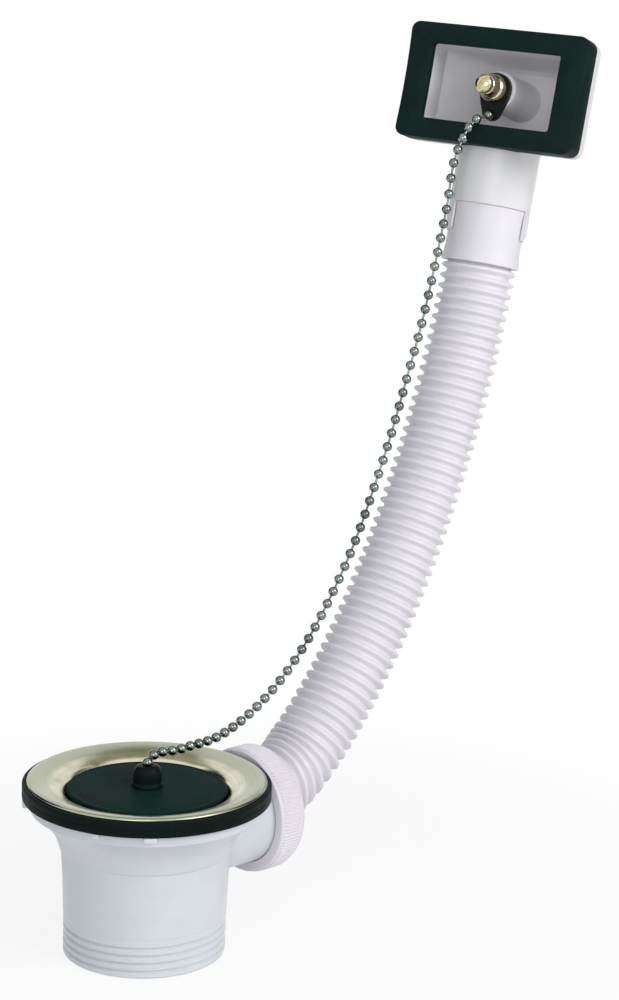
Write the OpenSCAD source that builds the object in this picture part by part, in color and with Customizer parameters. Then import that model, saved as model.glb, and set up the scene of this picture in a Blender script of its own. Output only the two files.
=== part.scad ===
// Sink waste with an overflow: a pressed steel grid flange on a moulded body,
// a rubber plug on a ball chain, and a corrugated hose up to a wall fitting.
// The origin is the centre of the outlet's end, +Z is up, and the side branch
// points along +X. Millimetres.

/* [Flange and washers] */
// Outer diameter of the steel flange
flange_d = 70; // [66:0.5:72]
// Thickness of the steel sheet
sheet_t = 0.9; // [0.7:0.1:1.2]
// Number of drain holes in the grid
grid_holes = 8; // [5:1:9]
// Diameter of one drain hole
grid_hole_d = 6; // [4:0.5:7]
// Outer diameter of the two rubber washers
washer_d = 72.6; // [70:0.2:74]
// Thickness of one rubber washer
washer_t = 2.35; // [2:0.05:2.4]

/* [Body] */
// Height of the flange's top above the outlet's end
body_h = 52.4; // [50:0.2:56]
// Outer diameter of the outlet's pipe thread
outlet_d = 47.8; // [47.2:0.1:48]
// Bore of the outlet
outlet_bore_d = 41; // [38:0.5:42]
// Height of the side branch's axis above the outlet's end
branch_h = 34.2; // [33.6:0.1:34.6]
// Outer diameter of the side branch
branch_d = 31.2; // [30:0.2:31.6]
// Number of arms that carry the hub
hub_arms = 3; // [2:1:4]

/* [Plug] */
// Diameter of the plug's rim
plug_d = 46.8; // [45:0.1:47]
// Diameter of the knob that holds the chain
knob_d = 9.4; // [8:0.2:12]

/* [Chain] */
// Diameter of one ball
ball_d = 3.05; // [2.8:0.05:3.05]
// Diameter of the wire between two balls
link_d = 0.9; // [0.6:0.1:1.2]

/* [Hose and nut] */
// Outer diameter over the ribs
hose_d = 23.8; // [23:0.1:24.2]
// Depth of the valley between two ribs
rib_depth = 1.8; // [1.2:0.1:2]
// Distance from one rib to the next
rib_pitch = 3.45; // [3.2:0.05:4.5]
// Diameter of the union nut over its grip ribs
nut_d = 38.4; // [37:0.2:39]
// Number of grip ribs round the nut
nut_ribs = 108; // [48:12:120]

/* [Overflow head] */
// Width of the rubber gasket
gasket_w = 60; // [58:0.5:64]
// Height of the rubber gasket
gasket_h = 36.6; // [36:0.2:37.4]
// Thickness of the rubber gasket
gasket_t = 9; // [8:0.5:9]
// Width of the window in the gasket
window_w = 43; // [40:0.5:44]
// Height of the window in the gasket
window_h = 23.6; // [22:0.2:25]
// Turn of the head about its neck
head_turn = 19; // [0:1:30]

/* [Hidden] */
$fn = 96;

white = [0.87, 0.86, 0.90];
black = [0.07, 0.13, 0.12];
steel = [0.74, 0.74, 0.69];
chrome = [0.80, 0.81, 0.82];
nickel = [0.76, 0.73, 0.58];
brass = [0.78, 0.62, 0.30];

// Sizes below the flange's top are written as negative heights, and
// below_top() brings them into the part's frame.
flange_r = flange_d / 2;
washer_r = washer_d / 2;
outlet_r = outlet_d / 2;
outlet_bore_r = outlet_bore_d / 2;
body_top = -1 - 2 * washer_t;
branch_z = branch_h - body_h;
branch_r = branch_d / 2;

// The hose's route lies in the XZ plane, heights from the flange's top.
hose_start = [46.1, -16.4];
hose_start_dir = 28;
hose_start_pull = 46;
cuff_rim = [133.4, 143.7];
head_lean = 11;
hose_end_pull = 60;
hose_r = hose_d / 2;
valley_r = hose_r - rib_depth;
// The hose leaves the nut square to the branch, and its ribs take up the
// hose's own direction over this length.
hose_lean_in = 22;

// The head's own frame has the neck's axis for Z and looks along -X.
neck_r = 13;
cuff_h = 18.3;
face_x = -17.6;
face_z = 53.8;
gasket_back = face_x + gasket_t;
plate_t = 4;
plate_back = gasket_back + plate_t;

module below_top() {
    translate([0, 0, body_h]) children();
}

module at_head() {
    translate([cuff_rim[0], 0, body_h + cuff_rim[1]])
        rotate([0, head_lean, 0])
            rotate([0, 0, head_turn])
                children();
}

// Turns a shape that is revolved about Z so that it points along +X.
module along_x(x, z) {
    translate([x, 0, z]) rotate([0, 90, 0]) children();
}

// A plate in the YZ plane with round corners, from x to x + t.
module rounded_plate(x, t, w, h, r) {
    translate([x, 0, 0])
        rotate([90, 0, 90])
            linear_extrude(t)
                rounded_rect(w, h, r);
}

module rounded_rect(w, h, r) {
    square([w - 2 * r, h], center = true);
    square([w, h - 2 * r], center = true);
    for (sx = [-1, 1])
        for (sy = [-1, 1])
            translate([sx * (w / 2 - r), sy * (h / 2 - r)])
                circle(r, $fn = 32);
}

// Flange, screw and washers

module flange() {
    t = sheet_t;
    color(steel) below_top()
        difference() {
            rotate_extrude()
                polygon([
                    [0, -16.4], [17.8, -16], [19.6, -15.4], [20.8, -14.2],
                    [21.4, -12.8], [23.2, -5], [23.9, -3.4], [25.2, -2.4],
                    [27.6, -1.5], [30.6, -0.6], [32.8, -0.1], [33.8, 0],
                    [flange_r - 0.5, -0.15], [flange_r, -0.6],
                    [flange_r, -1], [33.6, -1],
                    [30.8, -0.7 - t], [28, -1.6 - t], [25.8, -2.5 - t],
                    [24.9, -3.4 - t], [24.2, -5 - t], [22.3, -13.2 - t],
                    [21.4, -14.8 - t], [20, -16.2 - t], [18, -16.9 - t],
                    [0, -17.3 - t]
                ]);
            for (i = [0 : grid_holes - 1])
                rotate([0, 0, (i + 0.5) * 360 / grid_holes])
                    translate([12.6, 0, -20])
                        cylinder(h = 8, d = grid_hole_d, $fn = 48);
            translate([0, 0, -20]) cylinder(h = 8, r = 3.2, $fn = 48);
        }
}

module flange_screw() {
    color(steel) below_top()
        difference() {
            rotate_extrude($fn = 48)
                polygon([
                    [0, -14.2], [2.6, -14.4], [4.6, -15], [5.4, -15.8],
                    [5.4, -16.2], [2.9, -16.2], [2.9, -38], [2.3, -38.8],
                    [0, -38.8]
                ]);
            translate([-6, -0.6, -15.6]) cube([12, 1.2, 3]);
        }
}

module insert_nut() {
    color(brass) below_top()
        translate([0, 0, -33])
            difference() {
                union() {
                    cylinder(h = 12, r = 4.4, $fn = 48);
                    cylinder(h = 2, r = 5, $fn = 6);
                    translate([0, 0, 10]) cylinder(h = 2, r = 5, $fn = 6);
                }
                translate([0, 0, -1]) cylinder(h = 14, r = 3, $fn = 48);
            }
}

module upper_washer() {
    color(black) below_top()
        rotate_extrude()
            polygon([
                [washer_r, -1.3], [washer_r - 0.3, -1], [33.6, -1],
                [30.8, -0.7 - sheet_t], [28, -1.6 - sheet_t],
                [27.4, -1 - washer_t], [washer_r - 0.3, -1 - washer_t],
                [washer_r, -0.7 - washer_t]
            ]);
}

module lower_washer() {
    color(black) below_top()
        translate([0, 0, body_top])
            rotate_extrude()
                polygon([
                    [27.4, 0], [washer_r - 0.3, 0], [washer_r, 0.3],
                    [washer_r, washer_t - 0.3],
                    [washer_r - 0.3, washer_t], [27.4, washer_t]
                ]);
}

// Body

// The body's outside, from the rim down to the thread.
module body_outside() {
    rotate_extrude()
        polygon([
            [0, body_top], [33.6, body_top], [34.2, body_top - 0.5],
            [33.8, -8.6], [33.4, -8.9], [27.4, -14.4], [25.9, -17.2],
            [25, -20.2], [24.5, -23.4], [24.3, -27],
            [outlet_r + 0.1, -40.2], [outlet_r, -40.4],
            [outlet_r, -body_h + 0.4], [outlet_r - 0.4, -body_h],
            [0, -body_h]
        ]);
}

module body_chamber() {
    rotate_extrude()
        polygon([
            [0, 1], [27, 1], [27, -6.4], [26, -7.2], [24.6, -12],
            [23.4, -17], [22.4, -21], [21.6, -26],
            [outlet_bore_r + 0.2, -41], [outlet_bore_r, -body_h - 1],
            [0, -body_h - 1]
        ]);
}

module hub() {
    difference() {
        union() {
            translate([0, 0, -34.5]) cylinder(h = 14.8, r = 7, $fn = 64);
            for (i = [0 : hub_arms - 1])
                rotate([0, 0, 180 + i * 360 / hub_arms])
                    translate([0, -1.4, -33.5]) cube([22.8, 2.8, 11.5]);
        }
        translate([0, 0, -33]) {
            cylinder(h = 12, r = 4.45, $fn = 48);
            cylinder(h = 2, r = 5.06, $fn = 6);
            translate([0, 0, 10]) cylinder(h = 2, r = 5.06, $fn = 6);
        }
        translate([0, 0, -40]) cylinder(h = 24, r = 3.1, $fn = 48);
    }
}

// A grip lug under the washers: half-width in degrees, and its reach.
module rim_lug(azimuth, half, reach) {
    rotate([0, 0, azimuth - half])
        rotate_extrude(angle = 2 * half)
            polygon([
                [32, body_top], [reach, body_top], [reach, -8.2],
                [reach - 0.6, -8.8], [32, -8.8]
            ]);
}

module waste_body() {
    color(white) below_top()
        difference() {
            union() {
                body_outside();
                // The branch, cut off level with the rim's underside
                // until it is past the washers.
                intersection() {
                    along_x(20, branch_z) cylinder(h = 24, r = branch_r);
                    union() {
                        translate([0, -30, -60]) cube([60, 60, 51.6]);
                        translate([36.8, -30, -60]) cube([20, 60, 80]);
                    }
                }
                rim_lug(147, 3.5, 37.8);
                rim_lug(207, 1.6, 36.9);
                rim_lug(232, 1.6, 36.9);
            }
            body_chamber();
            along_x(18, branch_z) cylinder(h = 40, r = 8.4, $fn = 64);
            along_x(40, branch_z) cylinder(h = 10, r = 11, $fn = 64);
        }
    color(white) below_top() hub();
}

// Plug and chain

module plug() {
    color(black) below_top()
        difference() {
            rotate_extrude()
                polygon([
                    [0, -2.5], [19, -2.6], [21.8, -2.9], [plug_d / 2 - 0.5, -2.7],
                    [plug_d / 2, -3.1], [plug_d / 2, -3.6],
                    [22.9, -4.6], [22.3, -5.4], [21.7, -8],
                    [21.2, -11.6], [20.6, -12.4], [17.6, -12.4],
                    [17.2, -7.4], [4.4, -6.6], [4.4, -9.6], [0, -9.6]
                ]);
            translate([0, 0, -20]) cylinder(h = 20, r = 1.6, $fn = 48);
        }
}

// The knob's dimple seats the chain's first ball.
module plug_knob() {
    k = knob_d / 2;
    color(black) below_top()
        rotate_extrude($fn = 64)
            polygon([
                [0, 3], [0.8, 3.2], [1.45, 3.75], [1.8, 3.9],
                [2.8, 3.6], [k - 1, 2.9], [k - 0.5, 2], [k - 0.3, 0.8],
                [k - 0.4, -1], [k, -1.6], [k + 0.2, -2.1], [k + 0.2, -2.5],
                [1.5, -2.5], [1.5, -9.6], [2.8, -9.6],
                [2.8, -10.8], [0, -10.8]
            ]);
}

// The chain's route: every fourth ball, as height over distance in the
// plane through the two ends. The first and last points only steer it.
chain_route = [
    [0, -18], [0, 4.6], [12.4, 6.5], [25.5, 7.5], [38, 12.5],
    [50, 21], [61, 32.5], [70.5, 46], [79, 61], [86, 77], [92.5, 93.5],
    [98, 110], [103.5, 127], [108, 144.5], [112, 162], [115.8, 180.2],
    [128.7, 190.8], [167, 184]
];
chain_turn = -2.2;
ball_count = 4 * (len(chain_route) - 3) + 1;

// Point number i of the curve that passes through the route's points.
function on_route(i) =
    let (
        k = min(floor(i / 4), len(chain_route) - 4),
        t = i / 4 - k,
        a = chain_route[k],
        b = chain_route[k + 1],
        c = chain_route[k + 2],
        d = chain_route[k + 3]
    )
    b + 0.5 * t * (c - a + t * (2 * a - 5 * b + 4 * c - d
        + t * (3 * b - a - 3 * c + d)));

function ball_at(i) = let (p = on_route(i)) [p[0], 0, p[1]];

// Stands a shape at a and points its Z at b.
module towards(a, b) {
    v = b - a;
    translate(a)
        rotate([0, acos(v[2] / norm(v)), atan2(v[1], v[0])])
            children();
}

module ball_chain() {
    last = ball_count - 1;
    color(chrome) below_top()
        rotate([0, 0, chain_turn]) {
            for (i = [0 : last])
                towards(ball_at(i), i < last ? ball_at(i + 1) : 2 * ball_at(i) - ball_at(i - 1))
                    rotate([90, 0, 0]) sphere(d = ball_d, $fn = 24);
            for (i = [0 : last - 1])
                towards(ball_at(i), ball_at(i + 1))
                    cylinder(h = norm(ball_at(i + 1) - ball_at(i)), r = link_d / 2, $fn = 16);
        }
}

// Overflow head

module overflow_gasket() {
    color(black) at_head()
        translate([0, 0, face_z])
            difference() {
                hull() {
                    rounded_plate(face_x, 1, gasket_w - 1.6, gasket_h - 1.6, 3);
                    rounded_plate(face_x + 1, gasket_t - 1, gasket_w, gasket_h, 3.6);
                }
                rounded_plate(face_x - 1, gasket_t + 2, window_w, window_h, 1);
            }
}

// The housing's outer or inner shape, from the plate back to the wall.
module housing(grow) {
    hull() {
        rounded_plate(plate_back - 0.5, 1, 46 + grow, 26 + grow, 3);
        rounded_plate(11 + grow / 2, 0.5, 24 + grow, 20 + grow, 3);
    }
}

module overflow_head() {
    color(white) at_head()
        difference() {
            union() {
                translate([0, 0, face_z]) {
                    rounded_plate(gasket_back, plate_t, gasket_w - 0.6, gasket_h - 0.6, 3.4);
                    housing(3);
                }
                translate([0, 0, cuff_h]) cylinder(h = 16.8, r = neck_r);
                intersection() {
                    translate([0, 0, cuff_h]) cylinder(h = 26, r = neck_r);
                    translate([gasket_back, -20, 0]) cube([40, 40, 80]);
                }
                for (a = [-65, 115]) neck_tab(a);
            }
            difference() {
                translate([0, 0, face_z]) {
                    housing(0);
                    rounded_plate(gasket_back - 1, plate_t + 2, window_w, window_h, 1);
                }
                translate([-10.8, 0, face_z]) rotate([0, 90, 0]) cylinder(h = 30, r = 6, $fn = 48);
            }
            translate([0, 0, 5]) cylinder(h = 28.4, r = 11);
            intersection() {
                translate([0, 0, 5]) cylinder(h = 42, r = 11);
                translate([plate_back, -20, 0]) cube([40, 40, 80]);
                translate([-20, -20, 0]) cube([40, 40, 46]);
            }
            translate([-12, 0, face_z]) rotate([0, 90, 0]) cylinder(h = 18, r = 2.7, $fn = 48);
        }
}

// A snap tab that runs down from the neck over the cuff.
module neck_tab(azimuth) {
    rotate([0, 0, azimuth - 28])
        rotate_extrude(angle = 56)
            polygon([
                [12.3, cuff_h + 1], [neck_r, cuff_h + 1],
                [neck_r, 10.9], [12.3, 9.2]
            ]);
}

module boss_insert() {
    color(brass) at_head()
        translate([-10.4, 0, face_z])
            rotate([0, 90, 0])
                difference() {
                    cylinder(h = 14, r = 2.6, $fn = 48);
                    translate([0, 0, -1]) cylinder(h = 16, r = 1.9, $fn = 48);
                }
}

module chain_stay() {
    color(black) at_head()
        translate([-13, 0, face_z])
            rotate([90, 0, 90])
                difference() {
                    union() {
                        cylinder(h = 2.1, r = 5.3, $fn = 64);
                        linear_extrude(2.1)
                            polygon([
                                [-5, -1.5], [5, -1.5], [2.2, -9.2],
                                [1.2, -9.8], [-1.2, -9.8], [-2.2, -9.2]
                            ]);
                    }
                    translate([0, 0, -1]) cylinder(h = 5, r = 2.2, $fn = 48);
                }
}

module screw_collar() {
    color(nickel) at_head()
        translate([-13, 0, face_z])
            rotate([0, -90, 0])
                rotate_extrude($fn = 64)
                    polygon([
                        [2.2, 0], [4, 0], [4.4, 0.4], [4.4, 2],
                        [4.1, 3], [3.2, 3.8], [3.1, 7.6], [2.7, 8.1],
                        [2.2, 8.1]
                    ]);
}

module overflow_screw() {
    color(nickel) at_head()
        translate([-21.1, 0, face_z])
            rotate([0, -90, 0])
                difference() {
                    rotate_extrude($fn = 64)
                        polygon([
                            [0, -22], [1.4, -22], [1.8, -21.4], [1.8, 0],
                            [2.8, 0], [2.9, 1.1], [2.4, 2.1],
                            [1.4, 2.7], [0, 2.9]
                        ]);
                    rotate([0, 0, 62]) translate([-4, -0.4, 1.7]) cube([8, 0.8, 2]);
                }
}

module upper_cuff() {
    color(white) at_head()
        rotate_extrude()
            polygon([
                [12.5, 0], [12.5, 0.8], [12.2, 2.4], [11.9, 5],
                [11.9, 16], [12.1, 17], [12.2, cuff_h], [10.9, cuff_h],
                [10.9, 26], [9.6, 26], [9.6, 8], [10.1, 8], [10.1, 0]
            ]);
}

// Hose

hose_p = [
    hose_start,
    hose_start + hose_start_pull * [cos(hose_start_dir), sin(hose_start_dir)],
    cuff_rim - hose_end_pull * [sin(head_lean), cos(head_lean)],
    cuff_rim
];

function bezier(p, t) =
    let (u = 1 - t)
    u * u * u * p[0] + 3 * u * u * t * p[1] + 3 * u * t * t * p[2] + t * t * t * p[3];

function bezier_dir(p, t) =
    let (
        u = 1 - t,
        d = u * u * (p[1] - p[0]) + 2 * u * t * (p[2] - p[1]) + t * t * (p[3] - p[2])
    )
    d / norm(d);

// The length along the curve at each of its steps, then its inverse.
steps = 240;
step_points = [for (i = [0 : steps]) bezier(hose_p, i / steps)];
step_lengths = [
    for (i = 0, s = 0; i <= steps;
        s = s + (i < steps ? norm(step_points[i + 1] - step_points[i]) : 0), i = i + 1)
        [s, i / steps]
];
hose_length = step_lengths[steps][0];
rib_count = floor(hose_length / rib_pitch);
spigot = 7;

// One rib's section: part of the pitch, and part of the rib's height.
rib_section = [[0, 0], [0.2, 0.25], [0.36, 1], [0.64, 1], [0.8, 0.25]];

// The rings of the outside as [length along the route, radius].
hose_rings = concat(
    [
        for (i = [0 : rib_count - 1])
            for (q = rib_section)
                let (s = (i + q[0]) * hose_length / rib_count)
                [s, valley_r + q[1] * rib_depth * min(1, 0.5 + s / 8)]
    ],
    [[hose_length, valley_r - 0.1], [hose_length + spigot, valley_r - 0.1]]
);
bore_rings = [
    for (i = [0 : 30])
        [i * (hose_length + spigot) / 30, valley_r - 1.2]
];

function hose_point(s) =
    s >= hose_length ? cuff_rim + (s - hose_length) * bezier_dir(hose_p, 1)
    : bezier(hose_p, lookup(s, step_lengths));

// How far the ring at s is tilted up from the nut's own plane, in degrees.
function ring_tilt(s) =
    let (d = bezier_dir(hose_p, lookup(min(s, hose_length), step_lengths)))
    atan2(d[1], d[0]) * min(1, s / hose_lean_in);

function ring_points(ring, sides) =
    let (p = hose_point(ring[0]), tilt = ring_tilt(ring[0]))
    [
        for (j = [0 : sides - 1])
            let (a = j * 360 / sides)
            [
                p[0] - sin(tilt) * ring[1] * cos(a),
                ring[1] * sin(a),
                p[1] + cos(tilt) * ring[1] * cos(a)
            ]
    ];

// Walls between neighbouring rings, out facing or in facing.
function ring_walls(first, count, sides, flip) =
    [
        for (i = [0 : count - 2])
            for (j = [0 : sides - 1])
                let (
                    a = first + i * sides + j,
                    b = first + i * sides + (j + 1) % sides,
                    q = [a, b, b + sides, a + sides]
                )
                flip ? [q[3], q[2], q[1], q[0]] : q
    ];

module hose() {
    sides = 20;
    outer = [for (r = hose_rings) each ring_points(r, sides)];
    inner = [for (r = bore_rings) each ring_points(r, sides)];
    last_outer = (len(hose_rings) - 1) * sides;
    start_inner = len(outer);
    last_inner = start_inner + (len(bore_rings) - 1) * sides;
    ends = [
        for (j = [0 : sides - 1])
            let (n = (j + 1) % sides)
            each [
                [start_inner + j, start_inner + n, n, j],
                [last_outer + j, last_outer + n, last_inner + n, last_inner + j]
            ]
    ];
    color(white) below_top()
        polyhedron(
            concat(outer, inner),
            concat(
                ring_walls(0, len(hose_rings), sides, false),
                ring_walls(start_inner, len(bore_rings), sides, true),
                ends
            ),
            convexity = 10
        );
}

// The hose's lower end and its union nut

// The nut holds the tail by its flange, and the tail's slanted spigot
// stands in the hose.
module hose_tail() {
    color(white) below_top()
        difference() {
            union() {
                along_x(45, branch_z) cylinder(h = 1.1, r = 15.6, $fn = 64);
                at_tail() translate([0, 0, -4]) cylinder(h = 10, r = 7.6, $fn = 64);
            }
            at_tail() translate([0, 0, -10]) cylinder(h = 20, r = 6.2, $fn = 64);
            translate([25, -30, branch_z - 30]) cube([20, 60, 60]);
        }
}

module at_tail() {
    translate([hose_start[0], 0, hose_start[1]])
        rotate([0, 90 - hose_start_dir, 0])
            children();
}

module branch_seal() {
    color(black) below_top()
        along_x(44, branch_z)
            difference() {
                cylinder(h = 1, r = 15.4, $fn = 64);
                translate([0, 0, -1]) cylinder(h = 4, r = 12.4, $fn = 64);
            }
}

// The grip's outline: one straight-sided rib for every step.
function grip(r, depth, n) = [
    for (i = [0 : n - 1])
        for (q = [[0, 0], [0.3, 0], [0.45, 1], [0.85, 1]])
            let (a = (i + q[0]) * 360 / n, k = r - depth + q[1] * depth)
            [k * cos(a), k * sin(a)]
];

module collar_nut() {
    r = nut_d / 2;
    color(white) below_top()
        along_x(36.8, branch_z)
            difference() {
                union() {
                    rotate_extrude()
                        polygon([
                            [14, 0], [r - 0.5, 0], [r - 0.3, 0.3],
                            [r - 0.3, 1.4], [r - 0.4, 8.2], [r - 0.9, 9.4],
                            [r - 2, 10.6], [r - 3.4, 11.2], [14, 11.4]
                        ]);
                    translate([0, 0, 1.4])
                        linear_extrude(6.8)
                            polygon(grip(r, 0.4, nut_ribs));
                }
                translate([0, 0, -1]) cylinder(h = 10.3, r = branch_r + 0.2);
                translate([0, 0, 5]) cylinder(h = 10, r = 14.9);
            }
}

flange();
flange_screw();
insert_nut();
upper_washer();
lower_washer();
waste_body();
plug();
plug_knob();
ball_chain();
chain_stay();
overflow_screw();
screw_collar();
overflow_gasket();
overflow_head();
boss_insert();
upper_cuff();
hose();
hose_tail();
branch_seal();
collar_nut();
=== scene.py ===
# %% [markdown]
# # A sink waste with an overflow
# The object is the fitting under a kitchen sink. A pressed steel flange sits in the bowl's drain,
# a rubber plug closes it, and a white moulded body hangs below. A ribbed hose climbs from the
# body's side branch to a rectangular head, which collects the water that reaches the overflow.
#
# The solids are already in the right place and at the right size. This lesson dresses them: each
# piece gets a smooth mesh with soft edges, and a finish that would look right in any light, save
# for the reflection painted into the flange's outer rim.

# %% Load the fixed model
import math

import bmesh
import bpy
from mathutils import Matrix, Vector


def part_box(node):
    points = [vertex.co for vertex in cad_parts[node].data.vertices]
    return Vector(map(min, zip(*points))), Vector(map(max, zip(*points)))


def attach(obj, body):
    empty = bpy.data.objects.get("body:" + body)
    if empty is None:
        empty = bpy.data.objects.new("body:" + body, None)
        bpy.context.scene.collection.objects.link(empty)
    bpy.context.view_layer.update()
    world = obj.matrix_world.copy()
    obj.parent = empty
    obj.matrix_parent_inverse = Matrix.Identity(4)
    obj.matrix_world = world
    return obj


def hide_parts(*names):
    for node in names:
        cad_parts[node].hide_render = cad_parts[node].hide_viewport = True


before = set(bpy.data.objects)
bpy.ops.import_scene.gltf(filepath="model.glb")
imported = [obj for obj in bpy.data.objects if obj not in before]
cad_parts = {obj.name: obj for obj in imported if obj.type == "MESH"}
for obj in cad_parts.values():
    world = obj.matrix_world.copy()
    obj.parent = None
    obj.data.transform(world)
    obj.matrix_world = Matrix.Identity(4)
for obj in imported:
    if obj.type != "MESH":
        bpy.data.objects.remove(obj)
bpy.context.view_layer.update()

# %% [markdown]
# ## Units and datum
# A moulding drawing gives millimetres, and Blender works in metres. Sizes are written in
# millimetres here and brought to metres in one place. Heights count down from the flange's top
# face, because that is the face a fitter measures from. The hose ends in the plane y = 0.

# %% Units, datum and the head's own frame
MM = 0.001
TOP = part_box("flange")[1].z
BRANCH_H = -18.2
HEAD_LEAN = math.radians(11)
HEAD_TURN = math.radians(19)
CUFF_RIM = Vector((133.4, 0, 143.7))

upright = Matrix.Translation((0, 0, TOP)) @ Matrix.Scale(MM, 4)
along_branch = upright @ Matrix.Translation((0, 0, BRANCH_H)) @ Matrix.Rotation(math.pi / 2, 4, "Y")
at_head = (
    upright
    @ Matrix.Translation(CUFF_RIM)
    @ Matrix.Rotation(HEAD_LEAN, 4, "Y")
    @ Matrix.Rotation(HEAD_TURN, 4, "Z")
)
print("flange top at", round(TOP, 4), "head's neck at", [round(v, 4) for v in at_head.translation])

# %% [markdown]
# ## The camera comes first
# The photograph was taken with a long lens, a little above the flange and from its front left.
# A long lens keeps the flange's ellipse and the ribs' spacing true, so the focal length and the
# place are settled before any looks. The small roll is the photographer's.

# %% Camera
CAMERA_PLACE = Vector((-392.2, -469.9, 261.55)) * MM
CAMERA_AZIMUTH = math.radians(-44)
CAMERA_ELEVATION = math.radians(11.58)
CAMERA_ROLL = math.radians(1.99)
LENS_MM = 79.2


def camera_turn(azimuth, elevation, roll):
    """The camera's rotation, from where it stands round the object and how it is rolled."""
    back = Vector((
        math.sin(azimuth) * math.cos(elevation),
        -math.cos(azimuth) * math.cos(elevation),
        math.sin(elevation),
    ))
    right = Vector((math.cos(azimuth), math.sin(azimuth), 0))
    up = back.cross(right)
    rolled_right = right * math.cos(roll) + up * math.sin(roll)
    rolled_up = up * math.cos(roll) - right * math.sin(roll)
    return Matrix((rolled_right, rolled_up, back)).transposed().to_4x4()


camera_data = bpy.data.cameras.new("camera")
camera_data.lens = LENS_MM
camera_data.sensor_width = 36
camera_data.clip_start = 0.01
camera_data.clip_end = 50
camera = bpy.data.objects.new("camera", camera_data)
camera.matrix_world = Matrix.Translation(CAMERA_PLACE) @ camera_turn(
    CAMERA_AZIMUTH, CAMERA_ELEVATION, CAMERA_ROLL
)
bpy.context.collection.objects.link(camera)
bpy.context.scene.camera = camera
print("camera", [round(v, 3) for v in camera.location])

# %% [markdown]
# ## A short way to write nodes
# Materials and Geometry Nodes are both trees. One helper adds a node, sets what is a plain
# number and links what is a socket, so a tree reads like a list of steps.


# %% Node helper
def add(tree, kind, inputs=None, **settings):
    """Adds a node. Inputs are given by name or number, as a value or as a socket to link."""
    node = tree.nodes.new(kind)
    for name, value in settings.items():
        setattr(node, name, value)
    for name, value in (inputs or {}).items():
        if isinstance(value, bpy.types.NodeSocket):
            tree.links.new(value, node.inputs[name])
        else:
            node.inputs[name].default_value = value
    return node


def calc(tree, operation, *values):
    """One Math node, as its output socket."""
    return add(tree, "ShaderNodeMath", dict(enumerate(values)), operation=operation).outputs[0]


def ramp(tree, value, low, high, to_low=0.0, to_high=1.0, smooth=True):
    """Brings a value from one range to another, with soft ends."""
    kind = "SMOOTHSTEP" if smooth else "LINEAR"
    inputs = {"Value": value, "From Min": low, "From Max": high, "To Min": to_low, "To Max": to_high}
    return add(tree, "ShaderNodeMapRange", inputs, interpolation_type=kind).outputs["Result"]


def group_tree(kind, name, inputs, outputs):
    """A node group with named sockets. Inputs are (name, kind, default), outputs (name, kind)."""
    tree = bpy.data.node_groups.new(name, kind)
    for label, socket, default in inputs:
        made = tree.interface.new_socket(label, in_out="INPUT", socket_type=socket)
        if default is not None:
            made.default_value = default
    for label, socket in outputs:
        tree.interface.new_socket(label, in_out="OUTPUT", socket_type=socket)
    return tree, tree.nodes.new("NodeGroupInput").outputs, tree.nodes.new("NodeGroupOutput").inputs


def shape_tree(name, inputs):
    """A Geometry Nodes group: the shape comes in first and its material last."""
    sockets = [("Geometry", "NodeSocketGeometry", None), *inputs, ("Material", "NodeSocketMaterial", None)]
    return group_tree("GeometryNodeTree", name, sockets, [("Geometry", "NodeSocketGeometry")])


def hand_over(tree, shape, given, result):
    """Ends a Geometry Nodes group: real geometry, with its material."""
    real = add(tree, "GeometryNodeRealizeInstances", {0: shape})
    inputs = {"Geometry": real.outputs[0], "Material": given["Material"]}
    tree.links.new(add(tree, "GeometryNodeSetMaterial", inputs).outputs[0], result["Geometry"])
    return tree


def round_z(tree, place, operation):
    """The distance of a place from Z with LENGTH, or the way out from Z with NORMALIZE."""
    flat = add(tree, "ShaderNodeVectorMath", {0: place, 1: (1.0, 1.0, 0.0)}, operation="MULTIPLY")
    node = add(tree, "ShaderNodeVectorMath", {0: flat.outputs[0]}, operation=operation)
    return node.outputs["Value" if operation == "LENGTH" else "Vector"]


def push_out(tree, given, place, amount):
    """Moves the points past the group's Wall Radius away from Z."""
    press = add(tree, "ShaderNodeVectorMath", {0: round_z(tree, place, "NORMALIZE")}, operation="SCALE")
    tree.links.new(amount, press.inputs["Scale"])
    outside = calc(tree, "GREATER_THAN", round_z(tree, place, "LENGTH"), given["Wall Radius"])
    inputs = {"Geometry": given["Geometry"], "Selection": outside, "Offset": press.outputs[0]}
    return add(tree, "GeometryNodeSetPosition", inputs).outputs[0]


# %% [markdown]
# ## What mouldings share
# Polypropylene leaves its mould with a fine skin, faint flow marks and a slightly uneven tint.
# None of that has an outline, so it belongs in the shader. Because every white piece, and the
# rubber too, needs it at its own strength, it is one group with named sliders.


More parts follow.
